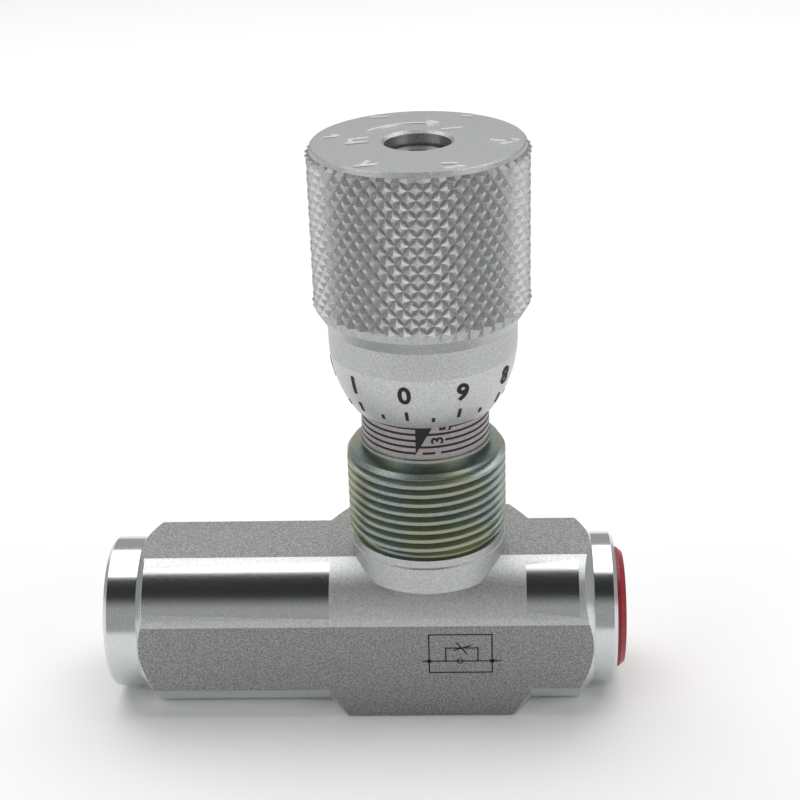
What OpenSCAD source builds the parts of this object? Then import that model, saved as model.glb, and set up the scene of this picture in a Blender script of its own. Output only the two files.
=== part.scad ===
// In-line flow control valve with a built-in check valve and a dialled control knob.
// Origin: on the base face, under the spindle axis. +X is the short arm, +Z the knob.
// Each piece is drawn about the crossing of port axis and spindle axis, then raised.

/* [Body] */
// Across flats of the square bar that the body is cut from
bar_w = 24; // [23.5:0.5:30]
// Neck axis to the port face of the long arm
arm_long = 50; // [47:1:70]
// Neck axis to the port face of the short arm
arm_short = 28.7; // [27:0.1:45]
// Diameter of the port collars
collar_d = 23.6; // [22:0.1:23.6]
// Length of the long arm's collar
collar_long_l = 5.1; // [3:0.1:7]
// Length of the short arm's collar
collar_short_l = 3.5; // [2:0.1:5]
// Turned diameter of the arms
arm_d = 28; // [26:0.2:30]
// Half length of the square middle block, along its corners
block_half_l = 12.3; // [12.2:0.1:15]
// Flat that the upper front edge takes off each face of the bar
facet_leg = 7.8; // [5:0.1:8]
// Radius of that crowned facet
facet_r = 9; // [8.5:0.5:20]
// Diameter of the bright turned land on the facet
land_d = 25.9; // [25.4:0.1:26.4]

/* [Ports] */
// Minor diameter of the port thread (G3/8)
port_minor_d = 14.95; // [13:0.05:15.5]
// Depth of the port thread, from its minor to its major radius
port_thread_h = 0.855; // [0.6:0.005:0.9]
// Depth of the long arm's port bore
port_long_depth = 15; // [14.5:0.5:18]
// Depth of the short arm's port bore
port_short_depth = 12.5; // [10.5:0.5:14]

/* [Neck] */
// Outer diameter of the panel thread (M24 x 1.5)
neck_d = 24; // [22.5:0.1:26]
// Height of the neck's top face above the port axis
neck_top = 29.75; // [28:0.25:36]
// Top end of the panel thread
thread_top = 28.7; // [26:0.1:28.8]
// Bottom end of the panel thread
thread_low = 16.3; // [14:0.1:20]
// Lower edge of the smooth ring below the thread
neck_ring_low = 9.9; // [9:0.1:11]
// Bore that takes the bonnet
bonnet_bore_d = 17.2; // [16:0.1:19]

/* [Control] */
// Lift of the spindle for one turn
turn_lift = 1; // [0.75:0.05:1.25]
// Turns open as the valve stands
turns_open = 4.98; // [0:0.01:6]
// Turns left to the upper stop
turns_left = 3; // [0.5:0.1:4]
// Spindle thread diameter (M10 x 1)
spindle_d = 9.9; // [8:0.1:11]
// Metering needle diameter
needle_d = 5.8; // [5:0.1:6.6]
// Orifice of the throttle seat
orifice_d = 4.5; // [3.5:0.1:5]

/* [Knob] */
// Diameter over the knurl
knob_d = 32; // [30:0.5:40]
// Height of the knob's top face above its skirt rim
knob_h = 39.45; // [36:0.5:46]
// Length of the knurled band
knurl_l = 21.9; // [15:0.1:23]
// Wall of the skirt at its rim
rim_wall = 0.95; // [0.8:0.05:2]
// Radius of the skirt's bell curve, seen from the side
bell_r = 18.2; // [17:0.1:30]
// Diameter of the screw well in the top
well_d = 9.5; // [9:0.1:12]
// Depth of the screw well
well_depth = 6; // [5:0.5:12]

/* [Scale sleeve] */
// Outer diameter of the scale sleeve
sleeve_d = 19.14; // [18.6:0.02:19.2]
// Wall of the scale sleeve
sleeve_wall = 0.6; // [0.5:0.05:0.8]
// Length of the scale sleeve
sleeve_l = 16.8; // [15:0.1:18]

/* [Check valve] */
// Bore that the poppet runs in
chamber_d = 12.4; // [11.5:0.1:13]
// Length of that bore, up to the seat insert
chamber_l = 15; // [14:0.5:16]
// Hole through the seat insert
check_hole_d = 8.4; // [7:0.1:9]
// Travel of the poppet
poppet_travel = 3; // [1:0.5:3]
// Room left behind the poppet when it is fully open
poppet_spare = 0.9; // [0.5:0.1:1.5]
// Wire of the return spring
spring_wire_d = 0.8; // [0.5:0.1:1]
// Turns of the return spring
spring_turns = 7; // [4:1:9]

/* [Port plug] */
// Diameter of the plug's flange
plug_flange_d = 18.8; // [17.5:0.1:20]
// Thickness of the plug's flange
plug_flange_t = 1.5; // [1:0.1:2.5]
// Length of the plug's shank
plug_shank_l = 9; // [6:0.5:9.5]

/* [Clearances] */
// Radial gap between parts that only lie in each other
loose_gap = 0.05; // [0.03:0.01:0.1]
// Radial gap of a running fit
running_gap = 0.05; // [0.03:0.01:0.08]
// Gap at a closed seat
seat_gap = 0.05; // [0.03:0.01:0.1]
// Radial gap between knob skirt and scale sleeve
skirt_gap = 0.28; // [0.2:0.02:0.4]

/* [Hidden] */
$fn = 96;

zinc = [0.74, 0.76, 0.74];
steel = [0.62, 0.63, 0.65];
seal_black = [0.08, 0.08, 0.09];

half = bar_w / 2;
lift_rest = turns_open * turn_lift;
lift_left = turns_left * turn_lift;

// Turned outline of the body, as [x, radius]
cone_run = (arm_d - collar_d) / 2;
block_r = half * sqrt(2) + 0.4;
shoulder_run = block_r - arm_d / 2;
port_edge = 0.6;

// Body bores
bonnet_seat_z = 10;
land_r = spindle_d / 2 + 0.55;
land_bore_r = land_r + running_gap;
chamber_r = land_r + 0.5;
link_r = check_hole_d / 2;
seat_pocket_top = -link_r - 0.4;
seat_t = 3.7;
seat_r = 4.6;
pocket_r = 3.2;
base_wall = 2;
pocket_low = base_wall - half;
feed_r = 1.5;

// Check valve stations along X
retainer_face = -arm_long + port_long_depth;
check_seat_l = 2.5;
check_seat_x = retainer_face + chamber_l;
check_end_x = check_seat_x + check_seat_l;
retainer_t = 1.25;
ring_t = 1;
ring_x = retainer_face - retainer_t - ring_t - 2 * loose_gap;
ring_groove_r = port_minor_d / 2 + 0.7;
port_chamfer_l = 1.1;
port_chamfer_r = port_minor_d / 2 + port_thread_h + 0.2;
poppet_r = chamber_d / 2 - 2 * running_gap;
poppet_neck_r = poppet_r - 0.9;
poppet_bore_r = poppet_neck_r - 1;
nose_tip_r = 3;
poppet_neck_l = 3.4;
poppet_floor = 0.5;
nose_x = check_seat_x - (poppet_neck_r - link_r) - seat_gap * sqrt(2);
poppet_back = retainer_face + poppet_travel + poppet_spare;
poppet_body_l = nose_x - poppet_neck_l - poppet_back;

// Bonnet stations along Z
flange_low = neck_top + 1;
flange_top = flange_low + 0.45;
stub_r = bonnet_bore_d / 2 + 0.6;
flange_r = sleeve_d / 2 + 0.28;
carrier_r = sleeve_d / 2 - sleeve_wall - loose_gap;
sleeve_top = flange_top + sleeve_l;
bonnet_r = bonnet_bore_d / 2 - loose_gap;
guide_r = spindle_d / 2 + running_gap;
land_low = 13.5;
land_l = 8;
step_z = land_low + land_l + lift_left + 0.1;
wiper_h = 2;
wiper_r = spindle_d / 2 + 2.05;
friction_w = 1.5;
friction_z = sleeve_top - 0.95;
oring_w = 1.5;
oring_z = 13;
gland_z = land_low + 4.6;
gland_w = 2.6;
backup_t = 0.95;

// Needle stations along Z, as the valve stands
needle_r = needle_d / 2;
tip_r = 0.8;
taper_l = 6.1;
orifice_r = orifice_d / 2;
touch_r = orifice_r - seat_gap - 0.02;
touch_drop = taper_l * (needle_r - touch_r) / (needle_r - tip_r);
taper_top = seat_pocket_top + lift_rest + 0.02 + touch_drop;
needle_top = land_low + 3.4;
clip_z = land_low + 1.2;
clip_t = 0.8;

// Knob stations along Z, as the valve stands
rim_z = flange_top + 0.8 + lift_rest + 0.02;
knob_top = rim_z + knob_h;
knob_r = knob_d / 2;
rim_r = sleeve_d / 2 + skirt_gap + rim_wall;
top_edge = 0.95;
knurl_top = knob_top - top_edge - 0.3;
knurl_low = knurl_top - knurl_l;
knurl_edge = 2.1;
bell_top_r = knob_r - knurl_edge;
bell_top_z = knurl_low - knurl_edge * 1.65;
cavity_r = sleeve_d / 2 + skirt_gap;
cavity_top = sleeve_top + lift_rest + 3;
well_floor = knob_top - well_depth;
shank_r = 4;
shank_low = cavity_top - loose_gap;
screw_r = 2.5;
screw_l = 12;
washer_t = 1;
screw_head_r = well_d / 2 - 0.45;
screw_head_h = 3;

module raised() {
    translate([0, 0, half]) children();
}

module tube(r_out, r_in, h) {
    difference() {
        cylinder(r = r_out, h = h);
        translate([0, 0, -1]) cylinder(r = r_in, h = h + 2);
    }
}

// A cylinder along X between two stations
module along_x(x0, x1, r) {
    translate([x0, 0, 0]) rotate([0, 90, 0]) cylinder(r = r, h = x1 - x0);
}

module round_ring(mean_r, wire_r) {
    rotate_extrude() translate([mean_r, 0]) circle(r = wire_r, $fn = 32);
}

// Bar section with the crowned facet on its upper front edge, in the Y-Z plane
module bar_section() {
    leg = half - facet_leg;
    chord_mid = (half + leg) / 2;
    sag = sqrt(facet_r * facet_r - facet_leg * facet_leg / 2);
    centre = chord_mid - sag / sqrt(2);
    difference() {
        square(bar_w, center = true);
        difference() {
            translate([-half - 1, leg - 0.5]) square([facet_leg + 1.5, facet_leg + 1.5]);
            translate([-centre, centre]) circle(r = facet_r, $fn = 128);
        }
    }
}

module turned_outline() {
    rotate([0, 90, 0]) rotate_extrude() rotate(90) polygon([
        [-arm_long, 0],
        [-arm_long, collar_d / 2 - port_edge],
        [-arm_long + port_edge, collar_d / 2],
        [-arm_long + collar_long_l, collar_d / 2],
        [-arm_long + collar_long_l + cone_run, arm_d / 2],
        [-block_half_l - shoulder_run, arm_d / 2],
        [-block_half_l, block_r],
        [block_half_l, block_r],
        [block_half_l + shoulder_run, arm_d / 2],
        [arm_short - collar_short_l - cone_run, arm_d / 2],
        [arm_short - collar_short_l, collar_d / 2],
        [arm_short - port_edge, collar_d / 2],
        [arm_short, collar_d / 2 - port_edge],
        [arm_short, 0]
    ]);
}

// The bright land turned on the facet between two stations
module land_cut(x0, x1) {
    leg = half - facet_leg;
    intersection() {
        difference() {
            along_x(x0, x1, block_r + 1);
            along_x(x0 - 1, x1 + 1, land_d / 2);
        }
        translate([x0 - 2, -half - 2, leg + 0.1]) cube([x1 - x0 + 4, facet_leg + 1.9, facet_leg + 3]);
    }
}

// Panel neck: smooth ring with a small step, relief groove, threaded length, top chamfer
module neck() {
    ring_r = neck_d / 2 - 0.1;
    ring_step = 0.2;
    thread_h = 0.92;
    root_r = neck_d / 2 - thread_h;
    relief_low = thread_low - 0.9;
    step_low = relief_low - 1.4;
    foot = 4;
    top_chamfer = 0.75;
    rotate_extrude() polygon([
        [0, 0],
        [ring_r - foot, 0],
        [ring_r - foot, neck_ring_low - foot],
        [ring_r, neck_ring_low],
        [ring_r, step_low],
        [ring_r - ring_step, step_low + ring_step],
        [ring_r - ring_step, relief_low],
        [root_r, relief_low + ring_step],
        [root_r, thread_low - 0.1],
        [neck_d / 2, thread_low],
        [neck_d / 2, thread_top],
        [neck_d / 2 - top_chamfer, neck_top],
        [0, neck_top]
    ]);
}

// Cone that opens a port's mouth, pointing along +X from the port's face
module port_chamfer() {
    translate([-0.01, 0, 0]) rotate([0, 90, 0])
        cylinder(r1 = port_chamfer_r, r2 = port_minor_d / 2 - 0.01, h = port_chamfer_l);
}

module valve_body() {
    feed_x0 = retainer_face + 1.5;
    feed_z0 = -chamber_d / 2 - 0.5;
    feed_z1 = pocket_low + 0.8;
    color(zinc) raised() difference() {
        union() {
            difference() {
                intersection() {
                    turned_outline();
                    translate([-arm_long - 1, 0, 0]) rotate([90, 0, 90])
                        linear_extrude(arm_long + arm_short + 2) bar_section();
                }
                land_cut(-arm_long + collar_long_l + 1, -block_half_l - shoulder_run + 0.6);
                land_cut(block_half_l + shoulder_run - 0.8, arm_short - collar_short_l - cone_run - 0.2);
            }
            neck();
        }
        // Long arm: port, chamfer, ring groove, check chamber, link passage
        along_x(-arm_long - 1, retainer_face, port_minor_d / 2);
        translate([-arm_long, 0, 0]) port_chamfer();
        along_x(ring_x - loose_gap, ring_x + ring_t + loose_gap, ring_groove_r);
        along_x(retainer_face - 1, check_end_x, chamber_d / 2);
        along_x(check_end_x - 1, 0, link_r);
        // Short arm
        along_x(arm_short - port_short_depth, arm_short + 1, port_minor_d / 2);
        translate([arm_short, 0, 0]) rotate(180) port_chamfer();
        along_x(0, arm_short - port_short_depth + 1, link_r);
        // Vertical bores: bonnet, chamber, seat pocket
        translate([0, 0, bonnet_seat_z]) cylinder(d = bonnet_bore_d, h = neck_top);
        translate([0, 0, seat_pocket_top]) cylinder(r = chamber_r, h = bonnet_seat_z - seat_pocket_top + 1);
        translate([0, 0, seat_pocket_top - seat_t]) cylinder(r = seat_r, h = seat_t + 1);
        translate([0, 0, pocket_low]) cylinder(r = pocket_r, h = seat_t);
        // Drilled feed from the check chamber to the pocket under the orifice
        translate([feed_x0, 0, feed_z0])
            rotate([0, 90 + atan((feed_z0 - feed_z1) / -feed_x0), 0])
                cylinder(r = feed_r, h = norm([feed_x0, feed_z0 - feed_z1]));
    }
}

module throttle_seat() {
    groove_z = seat_pocket_top - seat_t / 2 - 0.6;
    color("darkgoldenrod") raised() translate([0, 0, seat_pocket_top - seat_t]) difference() {
        cylinder(r = seat_r - loose_gap, h = seat_t);
        translate([0, 0, -1]) cylinder(r = orifice_r, h = seat_t + 2);
        translate([0, 0, groove_z - seat_pocket_top + seat_t]) tube(seat_r + 1, seat_r - 1.1, 1.2);
    }
}

module seat_oring() {
    color(seal_black) raised() translate([0, 0, seat_pocket_top - seat_t / 2]) round_ring(seat_r - 0.55, 0.5);
}

module check_seat() {
    color(steel) raised() difference() {
        along_x(check_seat_x, check_end_x, chamber_d / 2 - loose_gap);
        along_x(check_seat_x - 1, check_end_x + 1, link_r);
    }
}

module check_poppet() {
    holes = 4;
    color(steel) raised() difference() {
        union() {
            along_x(poppet_back, poppet_back + poppet_body_l, poppet_r);
            along_x(poppet_back + poppet_body_l - 1, nose_x, poppet_neck_r);
            translate([nose_x, 0, 0]) rotate([0, 90, 0])
                cylinder(r1 = poppet_neck_r, r2 = nose_tip_r, h = poppet_neck_r - nose_tip_r);
        }
        along_x(poppet_back - 1, nose_x - poppet_floor, poppet_bore_r);
        for (i = [0 : holes - 1])
            translate([nose_x - poppet_neck_l / 2, 0, 0]) rotate([45 + 90 * i, 0, 0])
                cylinder(r = 1.1, h = poppet_r + 1);
    }
}

// Closed helical wire along X, swept ring by ring
function spring_point(t, x0, len, r) =
    [x0 + len * t, r * cos(360 * spring_turns * t), r * sin(360 * spring_turns * t)];

module check_spring() {
    wire_r = spring_wire_d / 2;
    coil_r = poppet_bore_r - wire_r - 0.25;
    x0 = retainer_face + wire_r + 0.05;
    len = nose_x - poppet_floor - wire_r - 0.05 - x0;
    steps = spring_turns * 16;
    sides = 8;
    points = [
        for (i = [0 : steps]) let (
            t = i / steps,
            a = 360 * spring_turns * t,
            p = spring_point(t, x0, len, coil_r)
        )
        for (k = [0 : sides - 1]) let (
            out = wire_r * cos(360 * k / sides),
            side = wire_r * sin(360 * k / sides)
        )
        [p[0] + side, p[1] + out * cos(a), p[2] + out * sin(a)]
    ];
    walls = [
        for (i = [0 : steps - 1]) for (k = [0 : sides - 1]) let (
            n = (k + 1) % sides,
            base = i * sides
        )
        [base + k, base + sides + k, base + sides + n, base + n]
    ];
    first = [for (k = [0 : sides - 1]) k];
    last = [for (k = [sides - 1 : -1 : 0]) steps * sides + k];
    color(steel) raised() polyhedron(points, concat(walls, [first], [last]));
}

module spring_retainer() {
    holes = 3;
    color(steel) raised() difference() {
        along_x(retainer_face - retainer_t, retainer_face, port_minor_d / 2 - loose_gap);
        for (i = [0 : holes - 1])
            rotate([120 * i, 0, 0]) translate([0, 0, 4.8]) along_x(retainer_face - 3, retainer_face + 1, 2);
        along_x(retainer_face - 3, retainer_face + 1, 1.2);
    }
}

module retaining_ring() {
    ear_r = 1.5;
    color("dimgray") raised() translate([ring_x, 0, 0]) rotate([0, 90, 0]) difference() {
        union() {
            tube(ring_groove_r - 0.1, ring_groove_r - 1.5, ring_t);
            for (s = [-1, 1])
                rotate(s * 16) translate([ring_groove_r - 2.1, 0, 0]) cylinder(r = ear_r, h = ring_t);
        }
        translate([0, -1.1, -1]) cube([ring_groove_r + 1, 2.2, ring_t + 2]);
        for (s = [-1, 1])
            rotate(s * 16) translate([ring_groove_r - 2.1, 0, -1]) cylinder(r = 0.6, h = ring_t + 2);
    }
}

module port_plug() {
    shank_r = port_minor_d / 2 - 0.25;
    flange_r = plug_flange_d / 2;
    plug_wall = 1.4;
    web_t = 1.6;
    lip = 0.4;
    color([0.78, 0.1, 0.14]) raised() translate([arm_short, 0, 0]) rotate([0, 90, 0]) rotate_extrude() polygon([
        [0, -web_t],
        [shank_r - plug_wall, -web_t],
        [shank_r - plug_wall, -plug_shank_l],
        [shank_r - 0.6, -plug_shank_l],
        [shank_r, -plug_shank_l + 1],
        [shank_r, 0.05],
        [flange_r, 0.05],
        [flange_r, plug_flange_t * 0.45],
        [flange_r - 0.7, plug_flange_t],
        [flange_r - 2.2, plug_flange_t],
        [flange_r - 2.2 - lip, plug_flange_t - lip],
        [0, plug_flange_t - lip]
    ]);
}

module bonnet() {
    groove_r = bonnet_r - oring_w;
    color(zinc) raised() difference() {
        union() {
            translate([0, 0, bonnet_seat_z]) cylinder(r = bonnet_r, h = neck_top - bonnet_seat_z);
            translate([0, 0, neck_top]) cylinder(r = stub_r, h = flange_low - neck_top);
            translate([0, 0, flange_low]) cylinder(r = flange_r, h = flange_top - flange_low);
            translate([0, 0, flange_top]) cylinder(r = carrier_r, h = sleeve_l + wiper_h + 0.6);
        }
        translate([0, 0, bonnet_seat_z - 1]) cylinder(r = land_bore_r, h = step_z - bonnet_seat_z + 1);
        translate([0, 0, step_z - 1]) cylinder(r = guide_r, h = knob_top);
        translate([0, 0, sleeve_top + 0.6]) cylinder(r = wiper_r, h = wiper_h + 1);
        translate([0, 0, oring_z]) tube(bonnet_r + 1, groove_r, oring_w + 1.1);
        translate([0, 0, friction_z]) tube(carrier_r + 1, cavity_r - friction_w - 0.15, friction_w);
    }
}

module bonnet_oring() {
    color(seal_black) raised() translate([0, 0, oring_z + oring_w / 2 + 0.03])
        round_ring(bonnet_r - oring_w / 2, oring_w / 2 - 0.03);
}

module bonnet_backup_ring() {
    color("ivory") raised() translate([0, 0, oring_z + oring_w + 0.1])
        tube(bonnet_r, bonnet_r - oring_w + 0.05, backup_t);
}

module scale_sleeve() {
    color([0.66, 0.62, 0.62]) raised() translate([0, 0, flange_top])
        tube(sleeve_d / 2, sleeve_d / 2 - sleeve_wall, sleeve_l - 1);
}

module wiper_ring() {
    color([0.2, 0.32, 0.2]) raised() translate([0, 0, sleeve_top + 0.65]) difference() {
        cylinder(r = wiper_r - loose_gap, h = wiper_h - 0.1);
        translate([0, 0, -1]) cylinder(r = spindle_d / 2 + 0.04, h = wiper_h + 2);
        translate([0, 0, wiper_h - 0.8]) cylinder(r1 = spindle_d / 2 + 0.04, r2 = spindle_d / 2 + 1, h = 1);
    }
}

module friction_ring() {
    wire_r = friction_w / 2 - 0.03;
    color(seal_black) raised() translate([0, 0, friction_z + friction_w / 2])
        round_ring(cavity_r - running_gap - wire_r, wire_r);
}

module spindle() {
    groove_r = land_r - 1.5;
    color(steel) raised() difference() {
        union() {
            translate([0, 0, land_low]) cylinder(r = land_r, h = land_l);
            translate([0, 0, land_low + land_l]) cylinder(r = spindle_d / 2, h = shank_low - land_low - land_l);
            translate([0, 0, shank_low]) cylinder(r = shank_r, h = well_floor - 0.4 - shank_low);
        }
        translate([0, 0, land_low - 1]) cylinder(r = needle_r + running_gap, h = 4.5);
        translate([0, 0, clip_z - 0.1]) tube(needle_r + 0.7, needle_r - 0.5, clip_t + 0.2);
        translate([0, 0, gland_z]) tube(land_r + 1, groove_r, gland_w);
        translate([0, 0, well_floor - screw_l - 1]) cylinder(r = screw_r - 0.1 + loose_gap * 3, h = screw_l + 2);
    }
}

module spindle_oring() {
    color(seal_black) raised() translate([0, 0, gland_z + oring_w / 2 + 0.05]) round_ring(land_r - 0.75, 0.73);
}

module spindle_backup_ring() {
    color("ivory") raised() translate([0, 0, gland_z + gland_w - backup_t - 0.05]) tube(land_r, land_r - 1.45, backup_t);
}

module needle() {
    color(steel) raised() difference() {
        rotate_extrude() polygon([
            [0, taper_top - taper_l],
            [tip_r, taper_top - taper_l],
            [needle_r, taper_top],
            [needle_r, needle_top - 0.4],
            [needle_r - 0.4, needle_top],
            [0, needle_top]
        ]);
        translate([0, 0, clip_z - 0.05]) tube(needle_r + 1, needle_r - 0.6, clip_t + 0.1);
    }
}

module needle_clip() {
    color("dimgray") raised() translate([0, 0, clip_z]) difference() {
        tube(needle_r + 0.6, needle_r - 0.55, clip_t);
        translate([0, -0.8, -1]) cube([needle_r + 2, 1.6, clip_t + 2]);
    }
}

// Outer shape of the knob: top edge, knurled band, shoulder and bell skirt
module knob_outline() {
    bell_c = bell_top_r - bell_r;
    bell_mid = rim_z + sqrt(bell_r * bell_r - pow(rim_r - bell_c, 2));
    polygon([
        [0, bell_mid],
        [bell_top_r, bell_mid],
        [bell_top_r, bell_top_z],
        [knob_r, knurl_low],
        [knob_r, knob_top - top_edge],
        [knob_r - top_edge, knob_top],
        [0, knob_top]
    ]);
    intersection() {
        translate([bell_c, bell_mid]) circle(r = bell_r, $fn = 180);
        translate([0, rim_z]) square([knob_r, bell_mid - rim_z + 0.01]);
    }
}

module knob() {
    color([0.72, 0.73, 0.74]) raised() difference() {
        rotate_extrude() knob_outline();
        translate([0, 0, rim_z - 1]) cylinder(r = cavity_r, h = cavity_top - rim_z + 1);
        translate([0, 0, cavity_top - 1]) cylinder(r = shank_r + loose_gap, h = knob_h);
        translate([0, 0, well_floor]) cylinder(d = well_d, h = well_depth + 1);
        translate([0, 0, knob_top - 0.4]) cylinder(d1 = well_d - 0.02, d2 = well_d + 0.8, h = 0.41);
    }
}

module knob_washer() {
    color(steel) raised() translate([0, 0, well_floor + 0.02]) tube(screw_head_r, screw_r + 0.15, washer_t);
}

module knob_screw() {
    socket_r = 2.3;
    color(steel) raised() difference() {
        union() {
            translate([0, 0, well_floor + 0.04 + washer_t]) cylinder(r = screw_head_r - 0.3, h = screw_head_h);
            translate([0, 0, well_floor - screw_l]) cylinder(r = screw_r - 0.05, h = screw_l + 1.5);
        }
        translate([0, 0, well_floor + washer_t + 1]) cylinder(r = socket_r, h = screw_head_h, $fn = 6);
    }
}

valve_body();
throttle_seat();
seat_oring();
check_seat();
check_poppet();
check_spring();
spring_retainer();
retaining_ring();
port_plug();
bonnet();
bonnet_oring();
bonnet_backup_ring();
scale_sleeve();
wiper_ring();
friction_ring();
spindle();
spindle_oring();
spindle_backup_ring();
needle();
needle_clip();
knob();
knob_washer();
knob_screw();
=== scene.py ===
"""Looks for the flow control valve: finishes, knurl, threads, dial and printed marks round the CAD frame."""

import math

import bmesh
import bpy
from mathutils import Matrix, Vector


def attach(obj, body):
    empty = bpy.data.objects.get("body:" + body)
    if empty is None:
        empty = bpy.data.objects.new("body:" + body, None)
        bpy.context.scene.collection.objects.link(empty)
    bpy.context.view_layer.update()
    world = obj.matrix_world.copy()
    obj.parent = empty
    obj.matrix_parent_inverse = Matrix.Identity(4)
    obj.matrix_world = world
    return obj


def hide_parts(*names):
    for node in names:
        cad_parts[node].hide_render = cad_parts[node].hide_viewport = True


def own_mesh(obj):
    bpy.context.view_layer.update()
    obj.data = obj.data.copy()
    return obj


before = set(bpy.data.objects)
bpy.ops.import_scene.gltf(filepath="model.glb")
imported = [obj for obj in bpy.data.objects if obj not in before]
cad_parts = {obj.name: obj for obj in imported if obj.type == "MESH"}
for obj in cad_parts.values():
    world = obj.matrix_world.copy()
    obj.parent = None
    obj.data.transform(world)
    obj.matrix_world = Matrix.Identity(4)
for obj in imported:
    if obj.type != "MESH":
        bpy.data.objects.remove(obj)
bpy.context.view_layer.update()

MM = 0.001
FULL_TURN = 2 * math.pi

# ---------------------------------------------------------------- camera
CAMERA_PLACE = Vector((7.08, -226.08, 154.65)) * MM
CAMERA_RIGHT = Vector((0.99897, 0.03302, -0.03123))
CAMERA_UP = Vector((0.01422, 0.42559, 0.90481))
LENS = 75.2


def make_camera():
    camera = bpy.data.objects.new("camera", bpy.data.cameras.new("camera"))
    camera.data.lens = LENS
    camera.data.clip_start = 0.01
    camera.data.clip_end = 10
    back = CAMERA_RIGHT.cross(CAMERA_UP).normalized()
    turn = Matrix((CAMERA_RIGHT, CAMERA_UP, back)).transposed().to_4x4()
    camera.matrix_world = Matrix.Translation(CAMERA_PLACE) @ turn
    bpy.context.collection.objects.link(camera)
    bpy.context.scene.camera = camera


make_camera()

# ---------------------------------------------------------------- sizes, in mm from the base
PORT_Z = 12.0
BAR_HALF = 12.0

KNOB_R = 16.0
KNOB_TOP = 88.45
TOP_EDGE = 0.95
KNURL_LOW = 65.3
KNURL_TOP = 87.2
KNURL_DEPTH = 0.84
KNURL_COLUMNS = 46
KNURL_ROWS = 8.5
SHOULDER_LOW = 61.84
BELL_TOP_R = 13.9
BELL_R = 18.2
BELL_CENTRE_R = BELL_TOP_R - BELL_R
BELL_MID_Z = 59.16
RIM_Z = 49.0
BAND_TOP_Z = 57.7
CAVITY_R = 9.85
CAVITY_TOP = 67.98
SHANK_HOLE_R = 4.05
WELL_R = 4.75
WELL_FLOOR = 82.45
WELL_LEAD = 0.4

SLEEVE_R = 9.57
RING_SPACING = 1.0
RING_ZERO = 43.3

THREAD_R = 12.0
THREAD_ROOT_R = 11.08
THREAD_PITCH = 1.5
THREAD_LOW = 28.3
THREAD_TOP = 40.7
NECK_RING_TOP = 27.45
NECK_TOP = 41.75
NECK_CHAMFER = 0.75

PORT_MINOR_R = 7.475
PORT_MAJOR_R = 8.33
PORT_PITCH = 1.337
LONG_PORT_X = (-50.0, -37.45)

RETAINER_X = -35.0
SPRING_END_X = -21.62


# ---------------------------------------------------------------- mesh helpers
def finish_piece(name, bm, materials, body, replaced=(), sharp=28):
    """Turns a bmesh in millimetres into a piece that rides on a body."""
    bmesh.ops.remove_doubles(bm, verts=bm.verts, dist=1e-4)
    bmesh.ops.recalc_face_normals(bm, faces=bm.faces)
    bmesh.ops.scale(bm, vec=(MM, MM, MM), verts=bm.verts)
    return finish_mesh(name, bm, materials, body, replaced, sharp)


def finish_mesh(name, bm, materials, body, replaced=(), sharp=28):
    for face in bm.faces:
        face.smooth = True
    for edge in bm.edges:
        one_finish = len({face.material_index for face in edge.link_faces}) == 1
        edge.smooth = one_finish and edge.calc_face_angle(FULL_TURN) < math.radians(sharp)
    mesh = bpy.data.meshes.new(name)
    bm.to_mesh(mesh)
    bm.free()
    for material in materials:
        mesh.materials.append(material)
    piece = bpy.data.objects.new(name, mesh)
    bpy.context.collection.objects.link(piece)
    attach(piece, body)
    if replaced:
        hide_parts(*replaced)
    return piece


def chain(bm, points, closed=True):
    """A line of vertices through (radius, height) points, in the X-Z plane."""
    verts = [bm.verts.new((r, 0, z)) for r, z in points]
    edges = [bm.edges.new(pair) for pair in zip(verts, verts[1:])]
    if closed:
        edges.append(bm.edges.new((verts[-1], verts[0])))
    return verts + edges


def turn_profile(bm, points, steps=96, closed=True):
    """Spins a profile a full turn round Z."""
    bmesh.ops.spin(bm, geom=chain(bm, points, closed), cent=(0, 0, 0), axis=(0, 0, 1),
                   dvec=(0, 0, 0), angle=FULL_TURN, steps=steps, use_merge=True)


def arc_band(points, start, sweep, steps):
    """A filled profile spun through part of a turn, from start degrees right of the front."""
    part = bmesh.new()
    face = part.faces.new([part.verts.new((r, 0, z)) for r, z in points])
    geom = [face] + list(face.verts) + list(face.edges)
    bmesh.ops.spin(part, geom=geom, cent=(0, 0, 0), axis=(0, 0, 1), dvec=(0, 0, 0),
                   angle=math.radians(sweep), steps=steps, use_merge=False)
    first = Matrix.Rotation(math.radians(start - 90), 3, "Z")
    bmesh.ops.rotate(part, verts=part.verts, cent=(0, 0, 0), matrix=first)
    return part


def block(size, centre=(0, 0, 0), turn=0.0):
    """A bar of a given size, turned in its own plane and then placed."""
    part = bmesh.new()
    bmesh.ops.create_cube(part, size=1)
    bmesh.ops.scale(part, vec=size, verts=part.verts)
    spun = Matrix.Rotation(math.radians(turn), 3, "Z")
    bmesh.ops.rotate(part, verts=part.verts, cent=(0, 0, 0), matrix=spun)
    bmesh.ops.translate(part, vec=centre, verts=part.verts)
    return part


def figure(character, height, weight, depth):
    """A dial figure as a flat solid about its own centre, in millimetres, reading along X."""
    curve = bpy.data.curves.new("figure", "FONT")
    curve.body = character
    curve.size = height / 0.72
    curve.offset = weight
    curve.extrude = depth / 2
    curve.resolution_u = 4
    holder = bpy.data.objects.new("figure", curve)
    bpy.context.collection.objects.link(holder)
    bpy.context.view_layer.update()
    mesh = bpy.data.meshes.new_from_object(holder)
    bpy.data.objects.remove(holder)
    part = bmesh.new()
    part.from_mesh(mesh)
    bpy.data.meshes.remove(mesh)
    xs, ys = [v.co.x for v in part.verts], [v.co.y for v in part.verts]
    middle = Vector(((min(xs) + max(xs)) / 2, (min(ys) + max(ys)) / 2, 0))
    bmesh.ops.translate(part, vec=-middle, verts=part.verts)
    return part


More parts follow.
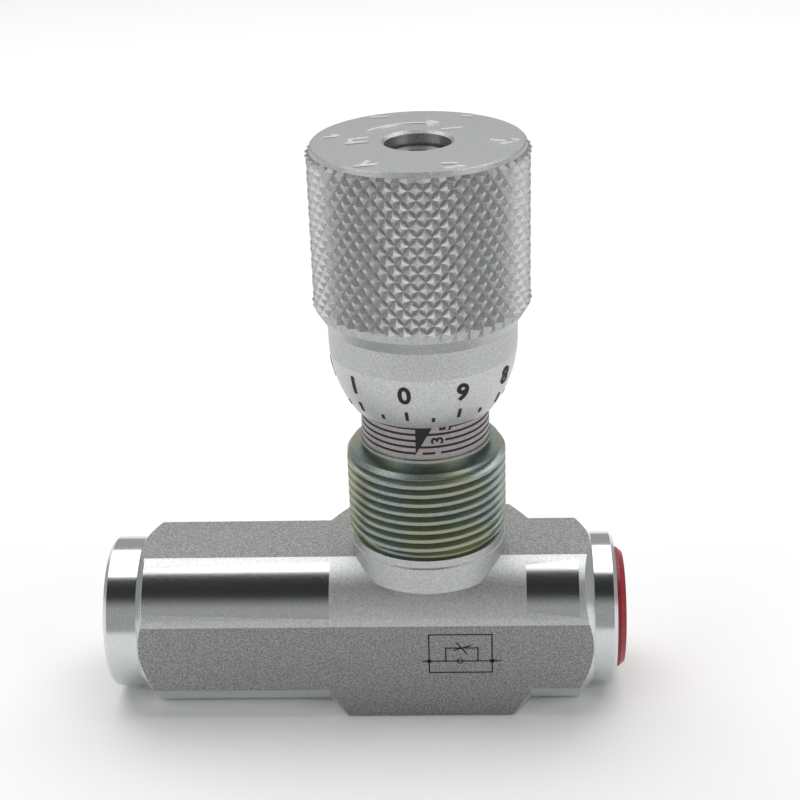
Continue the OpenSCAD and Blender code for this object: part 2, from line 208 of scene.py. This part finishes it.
def cut_fine(part, cuts):
    """Splits long edges so that a flat shape can follow a round surface."""
    bmesh.ops.subdivide_edges(part, edges=part.edges, cuts=cuts, use_grid_fill=True)
    return part


def lay_on_bell(part, angle, below):
    """Wraps a flat shape on the bell skirt: degrees right of the front and below the widest level."""
    reach = BELL_CENTRE_R + BELL_R * math.cos(math.radians(below))
    for v in part.verts:
        level = math.radians(below) - v.co.y / BELL_R
        radius = BELL_CENTRE_R + (BELL_R + v.co.z) * math.cos(level)
        height = BELL_MID_Z - (BELL_R + v.co.z) * math.sin(level)
        around = math.radians(angle) + v.co.x / reach
        v.co = Vector((radius * math.sin(around), -radius * math.cos(around), height))
    return part


def lay_on_sleeve(part, angle, height):
    """Wraps a flat shape on the scale sleeve."""
    for v in part.verts:
        around = math.radians(angle) + v.co.x / SLEEVE_R
        radius = SLEEVE_R + v.co.z
        v.co = Vector((radius * math.sin(around), -radius * math.cos(around), height + v.co.y))
    return part


def lay_on_front(part, x, z):
    """Stands a flat shape on the body's front face."""
    for v in part.verts:
        v.co = Vector((x + v.co.x, -BAR_HALF - v.co.z, z + v.co.y))
    return part


def join(bm, *parts):
    """Adds finished shapes to a piece."""
    for part in parts:
        mesh = bpy.data.meshes.new("part")
        part.to_mesh(mesh)
        part.free()
        bm.from_mesh(mesh)
        bpy.data.meshes.remove(mesh)


# ---------------------------------------------------------------- materials
def colour(hex_value):
    """An sRGB hex value as linear red, green, blue and alpha."""
    parts = [int(hex_value[i:i + 2], 16) / 255 for i in (0, 2, 4)]
    return [p / 12.92 if p <= 0.04045 else ((p + 0.055) / 1.055) ** 2.4 for p in parts] + [1.0]


def add(tree, kind, inputs=None, **settings):
    """Adds a shader node. Inputs are sockets to join or values; settings name a property, or a socket
    with _ for each space."""
    made = tree.nodes.new("ShaderNode" + kind)
    properties = {k: v for k, v in settings.items() if hasattr(made, k)}
    for key, value in properties.items():
        setattr(made, key, value)
    for key, value in settings.items():
        if key not in properties:
            made.inputs[key.replace("_", " ")].default_value = value
    for key, source in (inputs or {}).items():
        if isinstance(source, bpy.types.NodeSocket):
            tree.links.new(source, made.inputs[key])
        else:
            made.inputs[key].default_value = source
    return made


def start_material(name):
    material = bpy.data.materials.new(name)
    material.use_nodes = True
    material.node_tree.nodes.clear()
    return material, material.node_tree


def close_material(tree, inputs, **settings):
    shader = add(tree, "BsdfPrincipled", inputs, **settings)
    add(tree, "OutputMaterial", {"Surface": shader.outputs[0]})


# Places of the colour sockets on a Mix node, whose names are shared with its other types
MIX_A = 6
MIX_B = 7
MIX_RESULT = 2

SOFT_SPAN = (0.35, 0.65)
RELIEF = 0.05 * MM
# A wave texture goes through 20 radians in one unit at scale 1
WAVE_RADIANS = 20
# The cast lies in clouds some way across the neck
CLOUD_MM = 9.0


def grains(size_mm):
    """Noise scale for a feature of this size."""
    return 1.0 / (size_mm * MM)


def speckle(tree, place, grain_mm, span, dark, light):
    """A colour that runs from dark to light over the given span of a noise of this grain."""
    noise = add(tree, "TexNoise", {"Vector": place}, Scale=grains(grain_mm), Detail=3.0, Roughness=0.6)
    share = add(tree, "MapRange", {"Value": noise.outputs["Fac"]}, From_Min=span[0], From_Max=span[1])
    inputs = {"Factor": share.outputs[0], MIX_A: colour(dark), MIX_B: colour(light)}
    return add(tree, "Mix", inputs, data_type="RGBA").outputs[MIX_RESULT]


def metal(name, dark, light, grain_mm, rough, bump, span=SOFT_SPAN, lathe=None, lathe_mm=0.3, cast=None):
    """A metal with speckled tone and grain bump; lathe is the axis its turning marks step along."""
    material, tree = start_material(name)
    place = add(tree, "TexCoord").outputs["Object"]
    tone = speckle(tree, place, grain_mm, span, dark, light)
    if cast:
        cloud = add(tree, "TexNoise", {"Vector": place}, Scale=grains(CLOUD_MM), Detail=1.0)
        share = add(tree, "MapRange", {"Value": cloud.outputs["Fac"]}, From_Min=0.42, From_Max=0.64)
        inputs = {"Factor": share.outputs[0], MIX_A: tone, MIX_B: colour(cast)}
        tone = add(tree, "Mix", inputs, data_type="RGBA").outputs[MIX_RESULT]
    fine = add(tree, "TexNoise", {"Vector": place}, Scale=grains(grain_mm), Detail=2.0).outputs["Fac"]
    height = fine
    if lathe:
        marks = add(tree, "TexWave", {"Vector": place}, bands_direction=lathe, Distortion=0.4, Detail=1.0,
                    Scale=grains(lathe_mm) * FULL_TURN / WAVE_RADIANS)
        height = marks.outputs["Fac"]
    relief = add(tree, "Bump", {"Height": height}, Strength=bump, Distance=RELIEF)
    wear = add(tree, "MapRange", {"Value": fine}, To_Min=rough * 0.85, To_Max=rough * 1.15)
    inputs = {"Base Color": tone, "Roughness": wear.outputs[0], "Normal": relief.outputs[0]}
    close_material(tree, inputs, Metallic=1.0)
    return material


def solid(name, dark, light, grain_mm, rough, bump):
    """A moulded or printed material that isn't metal."""
    material, tree = start_material(name)
    place = add(tree, "TexCoord").outputs["Object"]
    tone = speckle(tree, place, grain_mm, SOFT_SPAN, dark, light)
    fine = add(tree, "TexNoise", {"Vector": place}, Scale=grains(grain_mm), Detail=2.0).outputs["Fac"]
    relief = add(tree, "Bump", {"Height": fine}, Strength=bump, Distance=RELIEF)
    wear = add(tree, "MapRange", {"Value": fine}, To_Min=rough * 0.9, To_Max=rough * 1.1)
    close_material(tree, {"Base Color": tone, "Roughness": wear.outputs[0], "Normal": relief.outputs[0]})
    return material


# Drawn bar, blasted before zinc plating: a dull grey full of dark and light specks, a little coarser
# than real grit so that they show. The grey is set darker than the plate's own as painted shade, which
# makes the front face read dark
sawn_zinc_painted_shade = metal("blasted zinc plate with painted shade", "7d7f7d", "a6a7a5", 0.28, 0.50, 0.35, span=(0.4, 0.62))
# The crowned facet has the same plate on a smoother face, so it is more even; its paler tone is painted light,
# for the light on this upward face, and it is also put on the neck's foot
facet_zinc_painted_light = metal("brushed zinc plate with painted light", "b2b4b3", "cccecd", 0.30, 0.48, 0.2)
# Faces cut on the lathe after drawing: near mirror plate with fine turning lines along the port axis
turned_zinc = metal("turned zinc plate", "cbcece", "d9dcdc", 0.25, 0.17, 0.06, lathe="X", lathe_mm=0.35)
# Thread and neck: bright blue-passivated plate with a yellow cast in places
neck_zinc = metal("passivated zinc plate", "838d8a", "a1aba8", 0.35, 0.38, 0.1, cast="9b9e88")
# Knob: die-cast zinc with a satin silver coat, finely pitted
knob_silver = metal("satin silver casting", "a6a7a8", "c8c9ca", 0.22, 0.40, 0.30)
# The dial band of the skirt was skimmed after casting, so it is paler
band_silver = metal("skimmed silver band", "b8b9ba", "d2d3d4", 0.30, 0.44, 0.15)
# Raised marks on the knob's top are polished by touch
mark_silver = metal("polished silver mark", "eeeff0", "fafafa", 0.5, 0.35, 0.1)
# Scale sleeve: thin anodised aluminium with a warm grey matte face
anodised = metal("warm grey anodising", "8c8686", "aaa4a4", 0.25, 0.42, 0.15)
# Screw, washer, spindle, needle, poppet: plain turned steel
turned_steel = metal("turned steel", "8d8e90", "b3b4b6", 0.5, 0.30, 0.15, lathe="Z", lathe_mm=0.3)
# Springs, clip and ring: dark drawn wire
spring_steel = metal("drawn spring steel", "4b4d50", "6c6e71", 0.3, 0.35, 0.1)
# Seat insert: turned brass
brass = metal("turned brass", "b08b48", "cfa964", 0.5, 0.28, 0.12, lathe="Z", lathe_mm=0.3)
# Seals: matte black moulded nitrile
nitrile = solid("nitrile rubber", "131314", "1e1e20", 0.4, 0.62, 0.2)
# Back-up rings: off-white sintered fluoroplastic
backup_plastic = solid("fluoroplastic", "d8d4c6", "e6e3d9", 0.4, 0.48, 0.1)
# Transport plug: translucent red polyethylene moulding with a soft gloss
red_plastic = solid("red polyethylene", "7e0e21", "98142a", 0.8, 0.40, 0.15)
# Printed scale, figures and symbol: dense black ink
ink = solid("black ink", "040404", "0a0a0b", 0.3, 0.65, 0.1)

NODE_FINISH = {
    "bonnet": neck_zinc, "throttle_seat": brass, "seat_oring": nitrile, "check_seat": turned_steel,
    "check_poppet": turned_steel, "spring_retainer": turned_steel, "retaining_ring": spring_steel,
    "port_plug": red_plastic, "bonnet_oring": nitrile, "bonnet_backup_ring": backup_plastic,
    "scale_sleeve": anodised, "wiper_ring": nitrile, "friction_ring": nitrile, "spindle": turned_steel,
    "spindle_oring": nitrile, "spindle_backup_ring": backup_plastic, "needle": turned_steel,
    "needle_clip": spring_steel, "knob_washer": turned_steel, "knob_screw": turned_steel,
    "valve_body": sawn_zinc_painted_shade, "knob": knob_silver, "check_spring": spring_steel,
}


def finish_cad_nodes():
    for name, finish in NODE_FINISH.items():
        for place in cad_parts[name].material_slots:
            place.material = finish


finish_cad_nodes()


# ---------------------------------------------------------------- knob
HALF_ROW = (KNURL_TOP - KNURL_LOW) / (2 * KNURL_ROWS)
KNURL_ROOT_R = KNOB_R - KNURL_DEPTH
CREST_FLAT = 0.42
ROLLED_EDGE = 0.15


def knob_profile():
    """The knob's wall as (radius, height), from the rim up, over the top and down through the well."""
    steep = math.asin((BELL_MID_Z - RIM_Z) / BELL_R)
    band = math.asin((BELL_MID_Z - BAND_TOP_Z) / BELL_R)
    levels = [steep + (band - steep) * i / 12 for i in range(13)] + [band / 2, 0.0]
    bell = [(BELL_CENTRE_R + BELL_R * math.cos(a), BELL_MID_Z - BELL_R * math.sin(a)) for a in levels]
    slope = (KNOB_R - BELL_TOP_R) / (KNURL_LOW - SHOULDER_LOW)
    rows = [(KNURL_ROOT_R, KNURL_LOW + HALF_ROW * i) for i in range(int(2 * KNURL_ROWS) + 1)]
    face_r = KNOB_R - TOP_EDGE
    return (
        bell
        + [(BELL_TOP_R, SHOULDER_LOW), (KNURL_ROOT_R, KNURL_LOW - KNURL_DEPTH / slope)]
        + rows
        + [(KNURL_ROOT_R + 0.12, KNOB_TOP - 0.8)]
        + [(face_r + ROLLED_EDGE, KNOB_TOP - ROLLED_EDGE), (face_r, KNOB_TOP)]
        + [(WELL_R + WELL_LEAD, KNOB_TOP), (WELL_R, KNOB_TOP - WELL_LEAD), (WELL_R, WELL_FLOOR)]
        + [(SHANK_HOLE_R, WELL_FLOOR), (SHANK_HOLE_R, CAVITY_TOP), (CAVITY_R, CAVITY_TOP), (CAVITY_R, RIM_Z)]
    )


def raise_knurl(bm):
    """Every second point of the knurled band is a crest, and faces are split along the grooves."""
    place = {}
    for v in bm.verts:
        outside = abs(math.hypot(v.co.x, v.co.y) - KNURL_ROOT_R) < 1e-3
        if outside and KNURL_LOW - 0.01 < v.co.z < KNURL_TOP + 0.01:
            column = round(math.atan2(v.co.y, v.co.x) / FULL_TURN * 2 * KNURL_COLUMNS)
            row = round((v.co.z - KNURL_LOW) / HALF_ROW)
            place[v] = (column + row) % 2
    for face in list(bm.faces):
        grooves = [v for v in face.verts if place.get(v) == 0]
        if len(face.verts) == 4 and len(grooves) == 2 and all(v in place for v in face.verts):
            bmesh.utils.face_split(face, grooves[0], grooves[1])
    crests = [v for v, odd in place.items() if odd]
    grow = KNOB_R / KNURL_ROOT_R
    bmesh.ops.scale(bm, vec=(grow, grow, 1), verts=crests)
    inner = [v for v in crests if KNURL_LOW + 0.1 < v.co.z < KNURL_TOP - 0.1]
    bmesh.ops.bevel(bm, geom=inner, offset=CREST_FLAT, affect="VERTICES", segments=1, profile=0.5, material=-1)


def make_knob():
    bm = bmesh.new()
    turn_profile(bm, knob_profile(), steps=2 * KNURL_COLUMNS)
    bmesh.ops.remove_doubles(bm, verts=bm.verts, dist=1e-4)
    raise_knurl(bm)
    for face in bm.faces:
        middle = face.calc_center_median()
        if middle.z < BAND_TOP_Z and math.hypot(middle.x, middle.y) > CAVITY_R + 0.1:
            face.material_index = 1
    finish_piece("knob_shell", bm, [knob_silver, band_silver], "knob_set", ["knob"], sharp=24)


# Angle right of the front, radius, length and turn of each raised bar
MARKS = (
    (138, 7.2, 3.2, 14), (-100, 12.6, 1.8, 10), (-104, 12.0, 1.4, -30),
    (-84, 8.6, 3.2, 12), (-98, 8.4, 3.0, 18), (-88, 9.4, 2.4, 100),
    (84, 11.2, 2.4, -20), (78, 12.6, 1.8, 16), (86, 13.6, 1.4, -40),
    (-31, 13.6, 2.6, 12), (-33, 12.4, 2.0, 70), (-27, 12.6, 1.6, 20),
    (22, 12.2, 2.2, 0), (19, 14.0, 1.6, 20), (25, 14.0, 1.4, -20),
    (149, 13.4, 1.8, -12), (-154, 13.4, 2.6, 8),
)
BAR_WIDE = 0.68
BAR_RISE = 0.23
# Bars that cross get their tops at different levels
BAR_STEP = 0.02


def make_knob_marks():
    """Raised turning arrow and short marks round the well, without lettering."""
    bm = bmesh.new()
    low, high = KNOB_TOP - 0.05, KNOB_TOP + 0.12
    join(
        bm,
        arc_band([(8.3, low), (8.9, low), (8.9, high), (8.3, high)], 163, 73, 24),
        block((2.0, 0.6, 0.27), (1.9, 9.1, KNOB_TOP), -35),
        block((2.0, 0.6, 0.3), (1.9, 8.1, KNOB_TOP), 35),
    )
    for index, (angle, radius, length, turn) in enumerate(MARKS):
        around = math.radians(angle)
        place = (radius * math.sin(around), -radius * math.cos(around), KNOB_TOP)
        join(bm, block((length, BAR_WIDE, BAR_RISE + BAR_STEP * (index % 4)), place, turn))
    finish_piece("knob_marks", bm, [mark_silver], "knob_set")


FIGURE_LEVEL = 12.3
LONG_TICK_LEVEL = 25.0
SHORT_TICK_LEVEL = 27.4
DIAL_ZERO = -10.6
DIAL_STEP = 36.0
TICK_WIDE = 0.46
PRINT_DEPTH = 0.16


def make_dial():
    """Ten figures that count up to the left, a long tick under each and a short one between."""
    bm = bmesh.new()
    for number in range(10):
        angle = DIAL_ZERO - DIAL_STEP * number
        digit = cut_fine(figure(str(number), 2.8, 0.11, PRINT_DEPTH), 1)
        long_tick = cut_fine(block((TICK_WIDE, 1.75, PRINT_DEPTH)), 3)
        short_tick = cut_fine(block((TICK_WIDE, 0.85, PRINT_DEPTH)), 2)
        join(
            bm,
            lay_on_bell(digit, angle, FIGURE_LEVEL),
            lay_on_bell(long_tick, angle, LONG_TICK_LEVEL),
            lay_on_bell(short_tick, angle - DIAL_STEP / 2, SHORT_TICK_LEVEL),
        )
    finish_piece("dial_figures", bm, [ink], "knob_set")


# ---------------------------------------------------------------- scale on the sleeve
POINTER_LEFT = -7.4
RING_COUNT = 8
RING_HALF = 0.18
PRINT_IN = 0.1
PRINT_OUT = 0.03


def make_scale():
    """Black rings one spindle pitch apart; odd ones leave room for their number."""
    bm = bmesh.new()
    for ring in range(1, RING_COUNT + 1):
        height = RING_ZERO + RING_SPACING * ring
        start = 13.0 + 1.9 * ring if ring % 2 else POINTER_LEFT + 0.1
        low, high = height - RING_HALF, height + RING_HALF
        inner, outer = SLEEVE_R - PRINT_IN, SLEEVE_R + 0.02
        section = [(inner, low), (outer, low), (outer, high), (inner, high)]
        join(bm, arc_band(section, start, 360 + POINTER_LEFT - start, 90))
    finish_piece("scale_rings", bm, [ink], "body")


def make_pointer():
    """Triangle whose left side is upright and whose tip is on the first ring."""
    part = bmesh.new()
    low, high = RING_ZERO + RING_SPACING - 0.15, RING_ZERO + 9 * RING_SPACING
    wide = 0.58 * (high - low)
    corners = [part.verts.new((x, y, -PRINT_IN)) for x, y in ((0, low), (wide, high), (0, high))]
    face = part.faces.new(corners)
    made = bmesh.ops.extrude_face_region(part, geom=[face])["geom"]
    raised = [v for v in made if isinstance(v, bmesh.types.BMVert)]
    bmesh.ops.translate(part, vec=(0, 0, PRINT_IN + PRINT_OUT), verts=raised)
    lay_on_sleeve(cut_fine(part, 5), POINTER_LEFT, 0)
    finish_piece("scale_pointer", part, [ink], "body")


def make_scale_numbers():
    """Odd turn numbers, lying on their side right of the pointer."""
    bm = bmesh.new()
    quarter = Matrix.Rotation(math.radians(90), 3, "Z")
    for ring in range(1, RING_COUNT + 1, 2):
        part = figure(str(ring), 1.8, 0.06, 0.2)
        bmesh.ops.rotate(part, verts=part.verts, cent=(0, 0, 0), matrix=quarter)
        bmesh.ops.translate(part, vec=(0, 0, -0.07), verts=part.verts)
        angle = 0.5 + 3.7 * ring
        join(bm, lay_on_sleeve(cut_fine(part, 1), angle, RING_ZERO + RING_SPACING * ring))
    finish_piece("scale_numbers", bm, [ink], "body")


# ---------------------------------------------------------------- body
FACET_CENTRE = (-3.07, PORT_Z + 3.07)
FACET_R = 9.0


def body_finish(face):
    """0 blasted flats, darker as painted shade, 1 brushed facet and neck foot, paler as painted light, 2
    lathe-cut faces, 3 neck.
    """
    middle, normal = face.calc_center_median(), face.normal
    x, y, z = (c / MM for c in middle)
    flat = max(abs(normal.y), abs(normal.z)) > 0.9995
    on_bar = max(abs(y), abs(z - PORT_Z)) > BAR_HALF - 0.02
    bar_top = flat and on_bar and abs(z - PORT_Z - BAR_HALF) < 0.02
    # The neck's foot takes the facet's paler tone, which is painted light
    if math.hypot(x, y) < THREAD_R + 0.1 and z > PORT_Z + 9.0 and not bar_top:
        return 3 if z > NECK_RING_TOP else 1
    if flat and on_bar:
        return 0
    off = math.hypot(y - FACET_CENTRE[0], z - FACET_CENTRE[1])
    if abs(off - FACET_R) < 0.06 and y < -4 and z > PORT_Z + 4:
        return 1
    return 2


def make_body():
    """The CAD body with its thread barrels turned down to the root, so that real threads stand on it."""
    bm = bmesh.new()
    bm.from_mesh(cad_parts["valve_body"].data)
    bmesh.ops.remove_doubles(bm, verts=bm.verts, dist=1e-7)
    for face in bm.faces:
        face.material_index = body_finish(face)
    for v in bm.verts:
        x, y, z = (c / MM for c in v.co)
        around_neck = math.hypot(x, y)
        around_port = math.hypot(y, z - PORT_Z)
        if abs(around_neck - THREAD_R) < 0.02 and z > THREAD_LOW - 0.05:
            shrink = (THREAD_ROOT_R - 0.02) / around_neck
            v.co = Vector((v.co.x * shrink, v.co.y * shrink, v.co.z))
        long_port = LONG_PORT_X[0] + 0.9 < x < LONG_PORT_X[1] + 0.05
        if long_port and abs(around_port - PORT_MINOR_R) < 0.03:
            grow = (PORT_MAJOR_R + 0.02) / around_port
            v.co = Vector((v.co.x, v.co.y * grow, PORT_Z * MM + (v.co.z - PORT_Z * MM) * grow))
    finishes = [sawn_zinc_painted_shade, facet_zinc_painted_light, turned_zinc, neck_zinc]
    finish_mesh("body_shell", bm, finishes, "body", ["valve_body"], sharp=22)


def tooth_helix(bm, root, crest, pitch, start, length):
    """A thread's tooth swept up Z on its helix, then cut square at both ends."""
    turns = length / pitch + 2
    steps = 72
    low = start - pitch
    shape = [(root, -0.44), (crest, -0.17), (crest, 0.17), (root, 0.44)]
    face = bm.faces.new([bm.verts.new((r, 0, low + share * pitch)) for r, share in shape])
    geom = [face] + list(face.verts) + list(face.edges)
    bmesh.ops.spin(bm, geom=geom, cent=(0, 0, 0), axis=(0, 0, 1), dvec=(0, 0, pitch / steps),
                   angle=FULL_TURN * turns, steps=round(turns * steps), use_merge=False)
    for height, side in ((start, -1), (start + length, 1)):
        geom = list(bm.verts) + list(bm.edges) + list(bm.faces)
        bmesh.ops.bisect_plane(bm, geom=geom, dist=1e-5, plane_co=(0, 0, height), plane_no=(0, 0, side),
                               clear_outer=True)
        bmesh.ops.holes_fill(bm, edges=[e for e in bm.edges if e.is_boundary], sides=0)


def make_neck_thread():
    bm = bmesh.new()
    tooth_helix(bm, THREAD_ROOT_R - 0.06, THREAD_R, THREAD_PITCH, THREAD_LOW, NECK_TOP - 0.05 - THREAD_LOW)
    for v in bm.verts:
        radius = math.hypot(v.co.x, v.co.y)
        down = max(v.co.z - THREAD_TOP, THREAD_LOW + 0.5 - v.co.z, 0) * NECK_CHAMFER / (NECK_TOP - THREAD_TOP)
        limit = max(THREAD_R - down, THREAD_ROOT_R - 0.05)
        if radius > limit:
            v.co = Vector((v.co.x * limit / radius, v.co.y * limit / radius, v.co.z))
    finish_piece("neck_thread", bm, [neck_zinc], "body", sharp=35)


def make_port_thread():
    """Inside thread of the open port, with its tooth pointing inwards."""
    bm = bmesh.new()
    length = LONG_PORT_X[1] - LONG_PORT_X[0] - 2.2
    tooth_helix(bm, PORT_MAJOR_R + 0.06, PORT_MINOR_R, PORT_PITCH, 0, length)
    bmesh.ops.rotate(bm, verts=bm.verts, cent=(0, 0, 0), matrix=Matrix.Rotation(math.radians(90), 3, "Y"))
    bmesh.ops.translate(bm, vec=(LONG_PORT_X[0] + 1.1, 0, PORT_Z), verts=bm.verts)
    finish_piece("port_thread", bm, [turned_zinc], "body", sharp=35)


# ---------------------------------------------------------------- symbol on the front face
LINE_WIDE = 0.21
LINE_DEPTH = 0.04


def line(x0, z0, x1, z1):
    """A printed line between two points on the front face."""
    length = math.hypot(x1 - x0, z1 - z0)
    lean = math.degrees(math.atan2(z1 - z0, x1 - x0))
    bar = block((length + LINE_WIDE, LINE_WIDE, LINE_DEPTH), turn=lean)
    return lay_on_front(bar, (x0 + x1) / 2, (z0 + z1) / 2)


def make_symbol():
    """Throttle and check valve symbol: an enclosure, a line with a ball, and a throttle with its arrow."""
    bm = bmesh.new()
    left, right, low, high = -0.05, 9.55, 7.9, 14.7
    flow = 9.95
    box_left, box_right, box_top = 2.5, 7.4, 12.3
    for ends in (
        (left, low, right, low), (left, high, right, high),
        (left, low, left, high), (right, low, right, high),
        (left - 1.0, flow, right + 1.3, flow),
        (box_left, flow, box_left, box_top), (box_right, flow, box_right, box_top),
        (box_left, box_top, box_right, box_top),
        (4.2, 13.2, 5.7, 11.3), (3.7, 11.9, 6.3, 12.7),
    ):
        join(bm, line(*ends))
    for x in (left, right):
        for lean in (-45, 45):
            join(bm, lay_on_front(block((0.8, LINE_WIDE, LINE_DEPTH), turn=lean), x, flow))
    ball = arc_band([(0.34, -0.02), (0.5, -0.02), (0.5, 0.02), (0.34, 0.02)], 0, 359.9, 24)
    join(bm, lay_on_front(ball, 4.65, flow))
    finish_piece("flow_symbol", bm, [ink], "body")


# ---------------------------------------------------------------- check spring
def make_spring():
    """The poppet's return spring, wound along X."""
    bm = bmesh.new()
    wire, coil, turns, steps = 0.4, 3.55, 7, 40
    gap = 0.05
    length = SPRING_END_X - RETAINER_X - gap - 2 * wire
    made = bmesh.ops.create_circle(bm, cap_ends=True, radius=wire, segments=10)["verts"]
    bmesh.ops.rotate(bm, verts=made, cent=(0, 0, 0), matrix=Matrix.Rotation(math.radians(90), 3, "X"))
    bmesh.ops.translate(bm, vec=(coil, 0, 0), verts=made)
    geom = list(bm.verts) + list(bm.edges) + list(bm.faces)
    bmesh.ops.spin(bm, geom=geom, cent=(0, 0, 0), axis=(0, 0, 1), dvec=(0, 0, length / turns / steps),
                   angle=FULL_TURN * turns, steps=turns * steps, use_merge=False)
    bmesh.ops.rotate(bm, verts=bm.verts, cent=(0, 0, 0), matrix=Matrix.Rotation(math.radians(90), 3, "Y"))
    bmesh.ops.translate(bm, vec=(RETAINER_X + gap + wire, 0, PORT_Z), verts=bm.verts)
    spring = finish_piece("return_spring", bm, [spring_steel], "body", ["check_spring"])
    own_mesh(spring)


make_knob()
make_knob_marks()
make_dial()
make_scale()
make_pointer()
make_scale_numbers()
make_body()
make_neck_thread()
make_port_thread()
make_symbol()
make_spring()


# ---------------------------------------------------------------- studio
def make_floor():
    bm = bmesh.new()
    bmesh.ops.create_circle(bm, cap_ends=True, radius=3.0, segments=64)
    bmesh.ops.translate(bm, vec=(0, 0, -0.0002), verts=bm.verts)
    mesh = bpy.data.meshes.new("floor")
    bm.to_mesh(mesh)
    bm.free()
    material, tree = start_material("pale floor")
    close_material(tree, {}, Base_Color=colour("f4f4f4"), Roughness=0.9)
    mesh.materials.append(material)
    floor = bpy.data.objects.new("floor", mesh)
    bpy.context.collection.objects.link(floor)


def panel(name, place, aim, size, power):
    """A square soft light that faces a point."""
    light = bpy.data.lights.new(name, "AREA")
    light.shape = "RECTANGLE"
    light.size, light.size_y = size
    light.energy = power
    holder = bpy.data.objects.new(name, light)
    holder.location = place
    holder.rotation_euler = (Vector(aim) - Vector(place)).to_track_quat("-Z", "Y").to_euler()
    bpy.context.collection.objects.link(holder)


def make_studio():
    make_floor()
    middle = (0, 0, 0.04)
    panel("overhead", (0, 0.32, 0.85), middle, (1.5, 0.9), 11)
    panel("left", (-0.75, -0.5, 0.4), middle, (0.6, 0.6), 1.8)
    panel("right", (0.75, -0.5, 0.4), middle, (0.6, 0.6), 1.8)
    world = bpy.data.worlds.new("studio")
    world.use_nodes = True
    tree = world.node_tree
    tree.nodes.clear()
    place = add(tree, "TexCoord").outputs["Generated"]
    height = add(tree, "SeparateXYZ", {"Vector": place}).outputs["Z"]
    # Pale up to 33 degrees above level and dark overhead, which the plated lands mirror
    walls = add(tree, "MapRange", {"Value": height}, From_Min=0.55, From_Max=0.75, To_Min=0.42, To_Max=0.03)
    glow = add(tree, "Background", {"Color": walls.outputs[0]}, Strength=1.0)
    add(tree, "OutputWorld", {"Surface": glow.outputs[0]})
    bpy.context.scene.world = world
    bpy.context.scene.view_settings.view_transform = "Standard"


make_studio()
